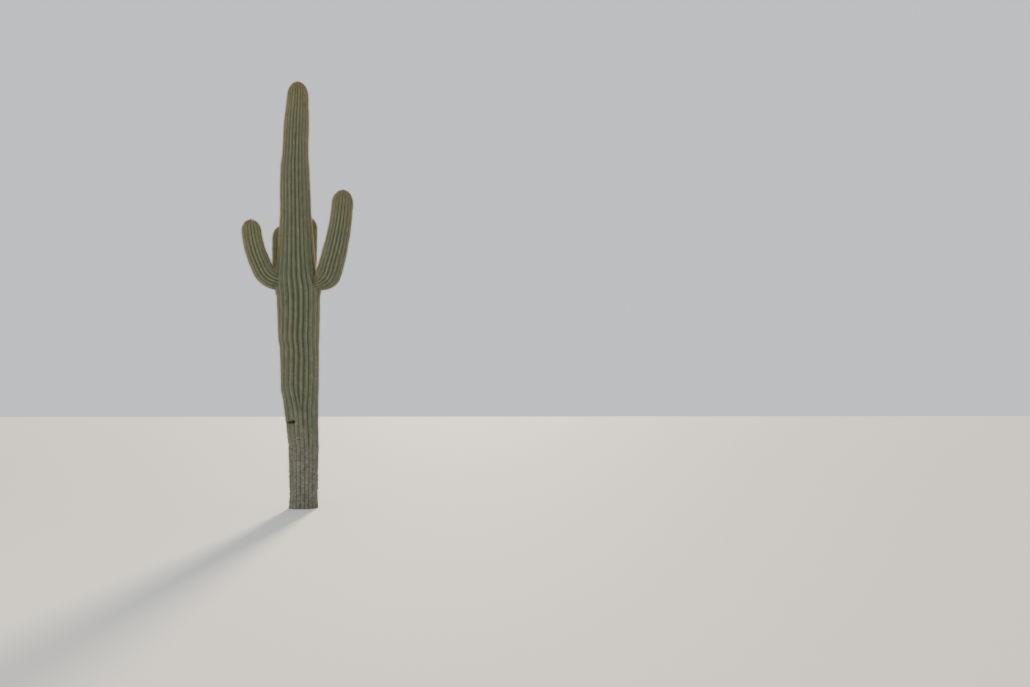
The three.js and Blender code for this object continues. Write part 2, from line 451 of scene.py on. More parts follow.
def carve(limb, club):
    """Gives a straight club its forks, crests, waists and scars, and returns its surface facts."""
    mesh = club.data
    points = points_of(mesh)
    x, y, height = points.T
    # The subdivided dome falls short of the tip, so it is stretched up to it.
    height = height + (limb.at[-1] - height.max()) * smooth(height, limb.shoulder, height.max())
    turn = (np.arctan2(y, x) / TURN) % 1 * limb.ribs
    rib = np.floor(turn).astype(int) % limb.ribs
    phase = turn - np.floor(turn)
    start, share, opened = rib_layout(limb, height)
    row = np.arange(len(height))
    angle = TURN * (start[row, rib] + phase * share[row, rib])
    alone = furrow_drop(phase)
    drop = alone.copy()
    for first, _ in limb.forks:
        for member in (first, first + 1):
            here = rib == member
            as_one = furrow_drop((phase[here] + (member - first)) / 2)
            drop[here] = mix(as_one, alone[here], opened[here, first + 1])
    bark = np.zeros_like(height)
    depth = np.full_like(height, FURROW_DEPTH * TURN / limb.ribs)
    if limb.name == "trunk":
        edge = BARK["top"] + BARK["taller"] * np.cos(angle - BARK["azimuth"])
        edge = edge + ripple(0, angle, **BARK_EDGE)
        bark = 1 - smooth(height, edge - BARK["fade"], edge)
        depth = depth * mix(1, BARK_FURROWS, bark)
    else:
        shallow = ARM_FOOT_FURROWS
        depth = depth * mix(shallow["share"], 1, smooth(height, 0.0, shallow["reach"]))
    shallow = CROWN_FURROWS
    depth = depth * mix(shallow["share"], 1, smooth(limb.age(height), 0.0, shallow["reach"]))
    stand, light = rib_traits(limb)
    factor = swelling(limb, height, angle) * (1 - depth * drop) + stand[rib] * (1 - drop)
    radius = limb.radius(height) * factor
    angle = angle + crest_sway(limb, height, angle)
    scar = np.zeros_like(height)
    if limb.name == "trunk":
        scar = wound(height, angle)
        radius = radius - SCAR["deep"] * scar
        radius = radius + bark_relief(height, angle, radius, bark)
        radius = collared(limb, radius, height, angle)
    set_points(mesh, bent(limb, height, angle, radius))
    facts = {
        "crest": 1 - drop,
        "age": limb.age(height),
        "bark": bark,
        "scar": scar,
        "rib_light": light[rib] * (1 - drop),
        "areole": areole_count(limb, rib, height),
    }
    return facts, turn / limb.ribs, (height - limb.at[0]) / (limb.at[-1] - limb.at[0])


def wound(height, angle):
    """The notch across the front, where the trunk was once hurt, ragged and thin at its ends.

    It is 1 where the notch is deepest, and 0 outside it.
    """
    aside = (angle - SCAR["azimuth"] + math.pi) % TURN - math.pi
    reach = 1 - smooth(np.abs(aside), *(SCAR["across"] * end for end in SCAR_ENDS))
    ragged = SCAR_SLOPE * aside + ripple(angle, 0, **SCAR_RAGGED)
    tall = SCAR["tall"] * mix(SCAR_THINNEST, 1, reach) * (1 + ripple(angle, 0, **SCAR_UNEVEN))
    return np.exp(-((height - SCAR["height"] - ragged) / tall) ** 2) * reach


def bark_relief(height, angle, radius, bark):
    """Lumps of bark at the foot, and the bands that run across it."""
    relief = np.zeros_like(height)
    for i in np.flatnonzero(bark > LEAST_BARK):
        spot = Vector((math.cos(angle[i]) * radius[i], math.sin(angle[i]) * radius[i], height[i]))
        crumbs = CRUMB_SHARE * noise.noise(spot * BARK_CRUMBS)
        rough = noise.noise(spot * BARK_LUMPS) + crumbs + noise.noise(spot * BARK_BANDS)
        relief[i] = rough * BARK_HEIGHT * bark[i]
    return relief


def collared(limb, radius, height, angle):
    """The swollen collars where the trunk carries its arms."""
    middle = limb.frame_at(height)[0]
    here = bent(limb, height, angle, radius)
    for arm in LIMBS[1:]:
        foot, _, _, way = arm.frame_at(np.array([0.0]))
        off = here - foot
        off = off - (off @ way[0])[:, None] * way[0]
        gap = np.linalg.norm(off, axis=1) - arm.radius(0.0)
        facing = (here - middle) @ (foot[0] - middle).mean(0) > 0
        swell = COLLAR["height"] * np.exp(-((gap - COLLAR["away"]) / COLLAR["width"]) ** 2)
        radius = radius + swell * facing * (np.linalg.norm(here - foot, axis=1) < COLLAR["reach"])
    return radius


def bent(limb, height, angle, radius):
    """Places on the limb: a distance up its axis, an angle round it and a radius, as points."""
    middle, out, level, _ = limb.frame_at(height)
    return middle + out * (radius * np.cos(angle))[:, None] + level * (radius * np.sin(angle))[:, None]


# Areoles


AREOLE_GAP = 0.026
CROWN_GAP = 0.012
CROWN_REACH = (0.02, 0.30)  # the ages between which the gap widens
GAP_SPREAD = (0.93, 1.07)
# The first areole of a rib: so many gaps from the pole, and up to one more, evenly spread by
# the golden ratio's share.
FIRST_AREOLE = 0.6
GOLDEN_SHARE = 0.618
FOOT_CLEARANCE = 0.07
ARM_CLEARANCE = 0.02
FOOT_LOSS = 0.45  # the share of areoles, and of spines, that the foot has lost
FOOT_HEALTH = (0.3, 1.5)  # the heights over which this loss ends
FORK_OPEN = 0.3  # how open a fork is at the new rib's first areole
AXIS_STRIDE = 8  # a limb is tested as spheres, one for every so many points of its axis
OVERLAP = 4 * MM  # how deep in another limb's sphere an areole may lie
WOUND_EDGE = 0.3  # how deep in the wound an areole may still live


def areole_ages(limb, rib):
    """How far from the tip each areole of a rib lies, crowded at the crown."""
    last = limb.age(FOOT_CLEARANCE if limb.name == "trunk" else ARM_CLEARANCE)
    chance = np.random.default_rng(SEEDS_APART * seed_for(limb, "ages") + rib)
    age = CROWN_GAP * (FIRST_AREOLE + (rib * GOLDEN_SHARE) % 1)
    ages = []
    while age < last:
        ages.append(age)
        gap = mix(CROWN_GAP, AREOLE_GAP, smooth(age, *CROWN_REACH))
        age += gap * chance.uniform(*GAP_SPREAD)
    return np.array(ages)


def areole_count(limb, rib, distance):
    """A number that grows by one from each areole of a rib to the next."""
    age = limb.age(distance)
    count = np.zeros_like(distance)
    for index in range(limb.ribs):
        here = rib == index
        ages = areole_ages(limb, index)
        count[here] = np.interp(age[here], ages, np.arange(len(ages)))
    return count


def areoles_of(limb, skin):
    """Places, outward and upward directions and ages of a limb's areoles, on its carved skin."""
    tree = BVHTree.FromObject(skin, bpy.context.evaluated_depsgraph_get())
    chance = np.random.default_rng(seed_for(limb, "areoles"))
    kept = []
    for rib in range(limb.ribs):
        ages = areole_ages(limb, rib)
        distance = limb.below_tip(ages)
        start, share, opened = rib_layout(limb, distance)
        phase = np.full(len(ages), 0.5)
        keep = np.ones(len(ages), bool)
        for first, _ in limb.forks:
            if rib == first:
                phase = mix(1.0, 0.5, opened[:, first + 1])
            if rib == first + 1:
                phase = mix(0.0, 0.5, opened[:, first + 1])
                keep = opened[:, first + 1] > FORK_OPEN
        angle = TURN * (start[:, rib] + phase * share[:, rib])
        angle = angle + crest_sway(limb, distance, angle)
        if limb.name == "trunk":
            lost = FOOT_LOSS * (1 - smooth(distance, *FOOT_HEALTH))
            keep &= chance.uniform(0, 1, len(ages)) > lost
            keep &= wound(distance, angle) < WOUND_EDGE
        kept.append(np.stack([distance, angle, ages], 1)[keep])
    distance, angle, age = np.vstack(kept).T
    middle, out, level, up = limb.frame_at(distance)
    round_out = out * np.cos(angle)[:, None] + level * np.sin(angle)[:, None]
    slope = limb.slope(distance)[:, None]
    outward = unit(round_out - slope * up)
    upward = unit(up + slope * round_out)
    place = middle + round_out * limb.radius(distance)[:, None]
    for i, spot in enumerate(place):
        place[i] = tree.find_nearest(Vector(spot))[0]
    free = clear_of_others(limb, place)
    return place[free], outward[free], upward[free], age[free]


def clear_of_others(limb, place):
    """Which places don't lie inside another limb."""
    free = np.ones(len(place), bool)
    for other in LIMBS:
        if other is limb:
            continue
        nearest = np.full(len(place), np.inf)
        for middle, reach in zip(other.middle[::AXIS_STRIDE], other.reach[::AXIS_STRIDE]):
            nearest = np.minimum(nearest, np.linalg.norm(place - middle, axis=1) - reach)
        free &= nearest > -OVERLAP
    return free


# Small things


def joined(name, points, faces, material):
    """One object from arrays of points and triangles."""
    mesh = bpy.data.meshes.new(name)
    mesh.vertices.add(len(points))
    mesh.vertices.foreach_set("co", np.ascontiguousarray(points, dtype=np.float32).ravel())
    mesh.loops.add(faces.size)
    mesh.loops.foreach_set("vertex_index", faces.ravel().astype(np.int32))
    mesh.polygons.add(len(faces))
    mesh.polygons.foreach_set("loop_start", np.arange(0, faces.size, 3, dtype=np.int32))
    mesh.update(calc_edges=True)
    mesh.materials.append(material)
    piece = bpy.data.objects.new(name, mesh)
    bpy.context.collection.objects.link(piece)
    return piece


# A felt pad's measures as shares of its height: half its width and height, how deep its rim
# and its root are sunk, and how far its top stands out and lies above the middle.
PAD = dict(sides=6, wide=0.42, tall=0.5, rim=0.06, root=0.3, top=0.28, lift=0.05)


def felt_pads(place, outward, upward, size):
    """A low six-sided cushion on each place, with its rim sunk in the skin."""
    across = np.cross(outward, upward)
    sides = PAD["sides"]
    sunk = outward * size * PAD["rim"]
    rim = []
    for turn in np.arange(sides) * TURN / sides:
        aside = across * math.cos(turn) * PAD["wide"] + upward * math.sin(turn) * PAD["tall"]
        rim.append(place + aside * size - sunk)
    top = place + outward * size * PAD["top"] + upward * size * PAD["lift"]
    root = place - outward * size * PAD["root"]
    points = np.stack([*rim, top, root], 1)
    edges = [(i, (i + 1) % sides) for i in range(sides)]
    faces = [(a, b, sides) for a, b in edges] + [(b, a, sides + 1) for a, b in edges]
    return repeated(points, faces)


def repeated(points, faces):
    """Points and faces of many like shapes as one pair of arrays."""
    count, corners = points.shape[:2]
    step = np.arange(count)[:, None, None] * corners
    return points.reshape(-1, 3), (np.array(faces)[None] + step).reshape(-1, 3)


def needles(root, way, side, length, width):
    """A closed three-sided spine on each root."""
    other = np.cross(way, side)
    corners = [
        root + (side * math.cos(a) + other * math.sin(a)) * width[:, None]
        for a in (0, TURN / 3, 2 * TURN / 3)
    ]
    tip = root + way * length[:, None]
    points = np.stack([*corners, tip], 1)
    return repeated(points, [(0, 1, 3), (1, 2, 3), (2, 0, 3), (2, 1, 0)])


# Materials


def add_node(tree, kind, inputs, **settings):
    """Adds a node with its settings, and gives each of its inputs a value or a link to a socket."""
    node = tree.nodes.new(f"ShaderNode{kind}")
    for name, value in settings.items():
        setattr(node, name, value)
    for key, value in inputs.items():
        if isinstance(value, bpy.types.NodeSocket):
            tree.links.new(value, node.inputs[key])
        else:
            node.inputs[key].default_value = value
    return node


def new_material(name, inputs):
    """A material whose shader has these values on its inputs."""
    material = bpy.data.materials.new(name)
    material.use_nodes = True
    shader = material.node_tree.nodes["Principled BSDF"]
    for key, value in inputs.items():
        shader.inputs[key].default_value = value
    return material


def opaque(colour):
    return (*colour, 1.0)


# What the skin's points carry, from carving.
SKIN_FACTS = ("crest", "age", "bark", "scar", "rib_light", "areole")
# How far patterns are squeezed along Z: streaks run up the skin, and bark is banded across.
PATTERN_STRETCH = {"even": 1.0, "streaked": 0.12, "banded": 1.9, "cracked": 5.0}
# Mottling: its stretch, the size of its patches in mm, and how much detail they have. The gloss's
# patches and the pores are drawn coarser than life, so that they show.
SKIN_GRAINS = {
    "patches": ("even", 90, 5),
    "streaks": ("streaked", 14, 3),
    "blotches": ("even", 130, 6),
    "lumps": ("banded", 55, 6),
    "fissures": ("cracked", 60, 6),
    "crumbs": ("even", 22, 4),
    "gloss": ("even", 8, 4),
    "pores": ("even", 5, 5),
}
GRAIN_ROUGHNESS = 0.58
# The size of the bark's plates, how far their edges wander, and the size of that wandering.
PLATE_SIZE = 17 * MM
PLATE_WANDER = 40 * MM
WANDER_SIZE = 30 * MM
# Edges torn by a mottling: the mottling, its weight, and the fact that it is added to.
TORN_EDGES = {"torn": ("crumbs", 0.5, "scar"), "bark_edge": ("lumps", 1.3, "bark")}
# How high the fine relief stands.
AREOLE_SWELLING = 1.4 * MM
PORE_DEPTH = 0.7 * MM
PLATE_HEIGHT = 1.6 * MM
# Colours laid over the first in turn: what each follows, the stretch over which its share
# changes, and its share at both ends.
FLESH_LAYERS = (
    ("young_flesh", "age", 0.05, 0.90, 1.00, 0.00),
    ("old_flesh", "age", 2.20, 4.60, 0.00, 1.00),
    ("dusty_flesh", "patches", 0.42, 0.66, 0.00, 0.45),
    ("furrow", "streaks", 0.50, 0.72, 0.00, 0.35),
    # Painted shade: the furrow colour gathers towards the bottom of each furrow, standing in for the shade
    # there.
    ("furrow", "crest", 0.00, 0.55, 0.85, 0.00),
    ("crest", "wear", 0.36, 0.60, 0.00, 0.60),
    ("dusty_flesh", "bark", 0.00, 0.50, 0.00, 0.75),
)
BARK_LAYERS = (
    ("bark_light", "lumps", 0.20, 0.62, 0.00, 1.00),
    ("bark_brown", "blotches", 0.46, 0.66, 0.00, 0.70),
    ("bark_dark", "fissures", 0.52, 0.62, 0.00, 0.45),
    ("bark_dark", "plates", 0.00, 0.10, 0.20, 0.00),
    # Painted shade: the dark bark colour gathers in the furrows, standing in for the shade there.
    ("bark_dark", "crest", 0.00, 0.60, 0.75, 0.00),
)
SCAR_LAYERS = (
    ("bark_brown", "torn", 0.34, 0.52, 0.00, 0.90),
    ("scar", "torn", 0.54, 0.84, 0.00, 1.00),
)


def skin_patterns(tree):
    """The facts and mottlings that the skin's colours follow, by name."""
    place = add_node(tree, "TexCoord", {}).outputs["Object"]
    patterns = {}
    for name in SKIN_FACTS:
        patterns[name] = add_node(tree, "Attribute", {}, attribute_name=name).outputs["Fac"]
    stretched = {}
    for name, stretch in PATTERN_STRETCH.items():
        turned = add_node(tree, "Mapping", {"Vector": place, "Scale": (1, 1, stretch)})
        stretched[name] = turned.outputs["Vector"]
    for name, (stretch, size, detail) in SKIN_GRAINS.items():
        grain = {"Vector": stretched[stretch], "Scale": 1 / (size * MM), "Detail": detail}
        grain["Roughness"] = GRAIN_ROUGHNESS
        patterns[name] = add_node(tree, "TexNoise", grain).outputs["Fac"]
    wander = {"Vector": stretched["banded"], "Scale": 1 / WANDER_SIZE, "Detail": 3}
    wander = add_node(tree, "TexNoise", wander).outputs["Color"]
    moved = {0: wander, 1: (PLATE_WANDER,) * 3, 2: stretched["banded"]}
    moved = add_node(tree, "VectorMath", moved, operation="MULTIPLY_ADD").outputs["Vector"]
    plates = {"Vector": moved, "Scale": 1 / PLATE_SIZE}
    plates = add_node(tree, "TexVoronoi", plates, feature="DISTANCE_TO_EDGE")
    patterns["plates"] = plates.outputs["Distance"]
    for name, (pattern, weight, fact) in TORN_EDGES.items():
        sum_of = {0: patterns[pattern], 1: weight, 2: patterns[fact]}
        patterns[name] = add_node(tree, "Math", sum_of, operation="MULTIPLY_ADD").outputs[0]
    both = {0: patterns["crest"], 1: patterns["patches"]}
    patterns["wear"] = add_node(tree, "Math", both, operation="MULTIPLY").outputs[0]
    return patterns


# A Mix node's two colours among its inputs, and their mixture among its outputs.
COLOUR_A = 6
COLOUR_B = 7
MIXTURE = 2


def layered(tree, colour, layers, patterns, settings):
    """Lays colours over a first one in turn, each with the share that its pattern gives it."""
    for name, pattern, low, high, share_at_low, share_at_high in layers:
        share = add_node(
            tree, "MapRange",
            {"Value": patterns[pattern], "From Min": low, "From Max": high,
             "To Min": share_at_low, "To Max": share_at_high},
            interpolation_type="SMOOTHSTEP",
        )
        both = {0: share.outputs["Result"], COLOUR_A: colour, COLOUR_B: opaque(getattr(settings, name))}
        colour = add_node(tree, "Mix", both, data_type="RGBA").outputs[MIXTURE]
    return colour


def skin_relief(tree, patterns, is_bark):
    """Bumps too fine for the mesh: swellings under the areoles, pores, and the edges of plates."""
    turned = add_node(tree, "Math", {0: patterns["areole"], 1: TURN}, operation="MULTIPLY").outputs[0]
    wave = add_node(tree, "Math", {0: turned}, operation="COSINE").outputs[0]
    swell = {"Value": patterns["crest"], "From Min": 0.45, "From Max": 0.95, "To Max": AREOLE_SWELLING}
    swell = add_node(tree, "MapRange", swell, interpolation_type="SMOOTHSTEP").outputs["Result"]
    relief = add_node(tree, "Math", {0: wave, 1: swell}, operation="MULTIPLY").outputs[0]
    pores = {0: patterns["pores"], 1: PORE_DEPTH, 2: relief}
    relief = add_node(tree, "Math", pores, operation="MULTIPLY_ADD").outputs[0]
    plate = {"Value": patterns["plates"], "From Min": 0.0, "From Max": 0.2, "To Max": PLATE_HEIGHT}
    plate = add_node(tree, "MapRange", plate, interpolation_type="SMOOTHSTEP").outputs["Result"]
    relief = add_node(tree, "Math", {0: plate, 1: is_bark, 2: relief}, operation="MULTIPLY_ADD").outputs[0]
    return add_node(tree, "Bump", {"Height": relief, "Distance": 1.0, "Strength": 0.8}).outputs["Normal"]


def waxy_skin():
    """Saguaro skin: a dull wax over green flesh, greyer with age, and bark where it has died.

    The wax gives a soft broad sheen. Furrows are painted darker green towards their bottoms as
    shade, and the same dark green runs in streaks of the skin's own over the flesh. Crests are paler
    and browner from wear and old felt. Bark is cracked cork with no gloss, painted darker in its
    furrows as shade.
    """
    settings = bpy.context.scene.cactus_skin
    material = new_material("waxy_cactus_skin", {"Specular IOR Level": 0.35})
    tree = material.node_tree
    shader = tree.nodes["Principled BSDF"]
    patterns = skin_patterns(tree)
    flesh = layered(tree, opaque(settings.flesh), FLESH_LAYERS, patterns, settings)
    lighter = {"Value": patterns["rib_light"], "From Min": -1.0, "To Min": 0.86, "To Max": 1.16}
    lighter = add_node(tree, "MapRange", lighter).outputs["Result"]
    flesh = add_node(tree, "HueSaturation", {"Color": flesh, "Value": lighter}).outputs["Color"]
    bark = layered(tree, opaque(settings.bark_dark), BARK_LAYERS, patterns, settings)
    is_bark = {"Value": patterns["bark_edge"], "From Min": 1.05, "From Max": 1.25}
    is_bark = add_node(tree, "MapRange", is_bark, interpolation_type="SMOOTHSTEP").outputs["Result"]
    both = {0: is_bark, COLOUR_A: flesh, COLOUR_B: bark}
    colour = add_node(tree, "Mix", both, data_type="RGBA").outputs[MIXTURE]
    colour = layered(tree, colour, SCAR_LAYERS, patterns, settings)
    tree.links.new(colour, shader.inputs["Base Color"])

    matt = {"Value": is_bark, "To Min": 0.42, "To Max": 0.78}
    matt = add_node(tree, "MapRange", matt).outputs["Result"]
    matt = {0: patterns["gloss"], 1: 0.2, 2: matt}
    matt = add_node(tree, "Math", matt, operation="MULTIPLY_ADD").outputs[0]
    tree.links.new(matt, shader.inputs["Roughness"])
    tree.links.new(skin_relief(tree, patterns, is_bark), shader.inputs["Normal"])
    return material


def areole_felt(name, colour):
    """Matted plant wool: soft, dry and quite without gloss."""
    return new_material(name, {
        "Base Color": opaque(colour),
        "Roughness": 0.95,
        "Specular IOR Level": 0.1,
        "Sheen Weight": 0.25,
    })


def spine_wood(name, colour, roughness):
    """Hard dry spine wood: a smooth needle with a slight shine when young, chalky when old."""
    return new_material(name, {
        "Base Color": opaque(colour),
        "Roughness": roughness,
        "Subsurface Weight": 0.6,
        "Subsurface Radius": (1.0, 0.8, 0.55),
        "Subsurface Scale": 3 * MM,
    })


def ground_sheet():
    """Pale matt studio floor."""
    colour = opaque(bpy.context.scene.cactus_stage.floor)
    return new_material("pale_floor", {"Base Color": colour, "Roughness": 0.9})


# Settings


def colour_property(name, description, colour):
    return FloatVectorProperty(
        name=name, description=description, subtype="COLOR", size=3, min=0, max=1, default=linear(colour),
    )


def size_property(name, description, size):
    return FloatProperty(name=name, description=description, default=size, unit="LENGTH")


class CactusSkinSettings(bpy.types.PropertyGroup):
    """Colours of the skin."""

    flesh: colour_property("Flesh", "Grown skin on the ribs' flanks", "#5b6750")
    young_flesh: colour_property("Young flesh", "Skin near the tips", "#6a7653")
    old_flesh: colour_property("Old flesh", "Skin low on the trunk", "#5a6450")
    dusty_flesh: colour_property("Dusty flesh", "Paler patches in the wax", "#767967")
    # This colour paints shade at the bottoms of the furrows; in streaks over the flesh it is the skin's own
    # darker green.
    furrow: colour_property("Furrow", "Skin deep between the ribs", "#36422d")
    crest: colour_property("Crest", "Worn skin on the ribs' crests", "#74715f")
    bark_light: colour_property("Light bark", "Weathered bark at the foot", "#87897c")
    bark_brown: colour_property("Brown bark", "Newer bark, and the rim of the old wound", "#716955")
    # This colour is the bark's own cracks and knots, and also paints shade in the bark's furrows.
    bark_dark: colour_property("Dark bark", "Cracks and knots in the bark", "#4d4c42")
    scar: colour_property("Scar", "Dead wood in the old wound", "#26211c")


class CactusSpineSettings(bpy.types.PropertyGroup):
    """Sizes and colours of spines and felt. Spines are thicker than life, so that they show."""

    radials: IntProperty(
        name="Radial spines", description="Spines that lie low round an areole", default=11, min=3,
    )
    centrals: IntProperty(
        name="Central spines", description="Spines that stand out of an areole", default=5, min=1,
    )
    radial_length: size_property("Radial length", "Length of a low spine", 24 * MM)
    central_length: size_property("Central length", "Length of an upright spine", 34 * MM)
    thickness: size_property("Thickness", "Half the width of a spine's foot", 1.25 * MM)
    felt_height: size_property("Felt pad", "Height of an areole's cushion of wool", 11 * MM)
    amber: colour_property("Amber", "New spines at the tips", "#9c7a50")
    honey: colour_property("Honey", "Spines that have begun to fade", "#b19765")
    straw: colour_property("Straw", "Grown spines", "#c5b28c")
    ash: colour_property("Ash", "Old weathered spines", "#8b8577")
    bleached: colour_property("Bleached", "Old spines in full sun", "#aaa595")
    new_felt: colour_property("New felt", "Wool at the tips", "#a58c66")
    old_felt: colour_property("Old felt", "Grey wool on grown areoles", "#62594b")


class CactusStageSettings(bpy.types.PropertyGroup):
    """The floor, the light and the camera."""

    floor: colour_property("Floor", "Plain pale floor", "#d9d7d2")
    sky: colour_property("Surround", "Plain pale surround", "#dfe4e8")
    sky_power: FloatProperty(name="Surround strength", description="Light of the surround", default=1.08)
    key_power: FloatProperty(
        name="Key light", description="Soft light from the front", default=300, unit="POWER",
    )
    sun_power: FloatProperty(name="Back light", description="Low light from behind", default=7.0)
    eye_height: size_property("Eye height", "Camera above the ground", 1.437)
    distance: size_property("Distance", "Camera to the foot", 15.488)


# Pieces


def keep_facts(mesh, facts):
    """Stores the facts that the skin's material reads on the skin's points."""
    for name, values in facts.items():
        attribute = mesh.attributes.new(name, "FLOAT", "POINT")
        attribute.data.foreach_set("value", values.astype(np.float32))


MAP_FILL = (0.98, 0.99)  # the share of the map that a skin takes up, across and up


def unroll(mesh, around, along):
    """A map that unrolls a skin: once round its limb, and foot to tip."""
    corners = np.empty(len(mesh.loops), dtype=np.int32)
    mesh.loops.foreach_get("vertex_index", corners)
    sides = corners.reshape(-1, 4)
    u = around[sides]
    u = np.where(u.max(1, keepdims=True) - u > 0.5, u + 1, u)
    places = np.stack([u, along[sides]], 2) * MAP_FILL
    layer = mesh.uv_layers.new(name="OFBake")
    layer.uv.foreach_set("vector", places.astype(np.float32).ravel())


def make_skin(limb, material):
    skin = raise_club(limb)
    facts, around, along = carve(limb, skin)
    keep_facts(skin.data, facts)
    unroll(skin.data, around, along)
    close_foot(skin)
    skin.data.shade_smooth()
    skin.data.materials.append(material)
    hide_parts(*limb.nodes)
    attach(skin, "root")


def close_foot(skin):
    """Fills the flat cut at the limb's foot."""
    bpy.ops.object.select_all(action="DESELECT")
    skin.select_set(True)
    bpy.context.view_layer.objects.active = skin
    bpy.ops.object.mode_set(mode="EDIT")
    bpy.ops.mesh.select_all(action="DESELECT")
    bpy.ops.mesh.select_mode(type="EDGE")
    bpy.ops.mesh.select_non_manifold(extend=False, use_boundary=True, use_wire=False, use_multi_face=False)
    bpy.ops.mesh.edge_face_add()
    bpy.ops.mesh.select_all(action="SELECT")
    bpy.ops.mesh.normals_make_consistent(inside=False)
    bpy.ops.object.mode_set(mode="OBJECT")


def skin_material():
    return bpy.data.materials.get("waxy_cactus_skin") or waxy_skin()


def grown_areoles(limb):
    """The areoles of a limb whose skin has been made."""
    skin = bpy.data.objects[f"skin_{limb.name}"]
    return areoles_of(limb, skin)


class CACTUS_OT_trunk(bpy.types.Operator):
    """Model the trunk's ribbed skin"""

    bl_idname = "cactus.trunk"
    bl_label = "Trunk"

    def execute(self, context):
        make_skin(LIMBS[0], skin_material())
        return {"FINISHED"}


class CACTUS_OT_arms(bpy.types.Operator):
    """Model the arms' ribbed skins"""

    bl_idname = "cactus.arms"
    bl_label = "Arms"

    def execute(self, context):
        for limb in LIMBS[1:]:
            make_skin(limb, skin_material())
        return {"FINISHED"}


# The limbs whose felt is joined into one piece for each tone, and their seed.
FELT_GROUPS = (("trunk", LIMBS[:1], 305), ("arms", LIMBS[1:], 304))
CROWN_FELT = 1.25  # how much larger pads are at a tip
FELT_GROWN = 0.3  # the age from which they are no larger
FELT_FADES = (0.25, 1.2)  # the ages between which felt turns from new to old


class CACTUS_OT_felt(bpy.types.Operator):
    """Set a pad of felt on every areole"""

    bl_idname = "cactus.felt"
    bl_label = "Areole felt"

    def execute(self, context):
        settings = context.scene.cactus_spines
        new_felt = areole_felt("new_areole_felt", settings.new_felt)
        old_felt = areole_felt("old_areole_felt", settings.old_felt)
        for group, limbs, seed in FELT_GROUPS:
            place, outward, upward, age = (np.concatenate(c) for c in zip(*map(grown_areoles, limbs)))
            size = settings.felt_height * mix(CROWN_FELT, 1.0, smooth(age, 0.0, FELT_GROWN))[:, None]
            chance = np.random.default_rng(seed)
            is_new = age < chance.uniform(*FELT_FADES, len(age))
            for tone, chosen, material in (("new", is_new, new_felt), ("old", ~is_new, old_felt)):
                points, faces = felt_pads(place[chosen], outward[chosen], upward[chosen], size[chosen])
                piece = joined(f"felt_{group}_{tone}", points, faces, material)
                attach(piece, "root")
        return {"FINISHED"}


# The tones of spine wood from new to old, and how rough each is.
SPINE_TONES = {"amber": 0.42, "honey": 0.46, "straw": 0.50, "ash": 0.80, "bleached": 0.85}
# The two rings of an areole's spines: how far each strays round it, where the first one points,
# the range of their rise in degrees, their width as a share of the thickness, how much longer they
# are at the foot, and the share of amber ones where the limb is old.
RADIAL_RING = dict(stray=0.3, first=0, rise=(20, 48), width=0.7, at_foot=1.0, amber=0.05)
CENTRAL_RING = dict(stray=0.5, first=-math.pi / 2, rise=(38, 72), width=1.0, at_foot=1.25, amber=0.16)
LENGTH_SPREAD = (0.7, 1.2)
WIDTH_SPREAD = (0.9, 1.15)
FOOT_END = (0.4, 2.6)  # the heights over which the foot's longer, fewer and greyer spines end
# Until this age spines are shorter, lean up, and keep only a share of their own rise.
SPINES_GROWN = 0.35
TIP_RISE = math.radians(62)
OWN_RISE = 0.35
TIP_LENGTH = 0.8
TIP_LEAN = 0.5
# How far from its areole's middle a spine is rooted, and how deep.
RING_RADIUS = 2.5 * MM
ROOT_DEPTH = 1.0 * MM
GROUND_GAP = 6 * MM  # a spine whose tip would come nearer to the ground is left out


def spine_arrays(limb, settings):
    """The roots, ways, sides, lengths, widths and tones of a limb's spines."""
    place, outward, upward, age = grown_areoles(limb)
    across = np.cross(outward, upward)
    chance = np.random.default_rng(seed_for(limb, "spines"))
    count = len(place)
    grown = smooth(age, 0.0, SPINES_GROWN)
    above_foot = smooth(place[:, 2], *FOOT_END) if limb.name == "trunk" else np.ones(count)
    areole_tone = chance.uniform(0, 1, count)
    rings = (
        (RADIAL_RING, settings.radials, settings.radial_length),
        (CENTRAL_RING, settings.centrals, settings.central_length),
    )
    spines = [(ring, length, TURN * i / number) for ring, number, length in rings for i in range(number)]
    parts = []
    for ring, full_length, turn in spines:
        around = turn + chance.uniform(-ring["stray"], ring["stray"], count) + ring["first"]
        rise = np.radians(chance.uniform(*ring["rise"], count))
        rise = mix(TIP_RISE, rise, mix(OWN_RISE, 1, grown))
        length = full_length * chance.uniform(*LENGTH_SPREAD, count) * mix(ring["at_foot"], 1.0, above_foot)
        length = length * mix(TIP_LENGTH, 1.0, grown)
        width = settings.thickness * ring["width"] * chance.uniform(*WIDTH_SPREAD, count)
        flat = across * np.cos(around)[:, None] + upward * np.sin(around)[:, None]
        way = flat * np.cos(rise)[:, None] + outward * np.sin(rise)[:, None]
        way = unit(way + upward * (1 - grown)[:, None] * TIP_LEAN)
        side = unit(np.cross(way, outward))
        root = place + flat * RING_RADIUS - outward * ROOT_DEPTH
        keep = chance.uniform(0, 1, count) > FOOT_LOSS * (1 - above_foot)
        keep &= root[:, 2] + way[:, 2] * length > GROUND_GAP
        tone = spine_tone(age, above_foot, areole_tone, chance.uniform(0, 1, count), ring["amber"])
        parts.append([values[keep] for values in (root, way, side, length, width, tone)])
    return [np.concatenate(column) for column in zip(*parts)]


# Amber spines: the share that is added at the very tip, and how it falls with age.
AMBER = dict(share=0.9, reach=0.30, steepness=1.5)
# Weathered spines: the shares low and high on the plant, and the ages over which they appear.
WEATHERED = dict(low=0.85, high=0.22, ages=(0.3, 1.6))
HONEY_SHARE = 0.35  # of the spines that are neither amber nor weathered
BLEACHED_SHARE = 0.4  # of the weathered ones
AREOLE_LIKENESS = 0.6  # how much one areole's spines are alike in tone


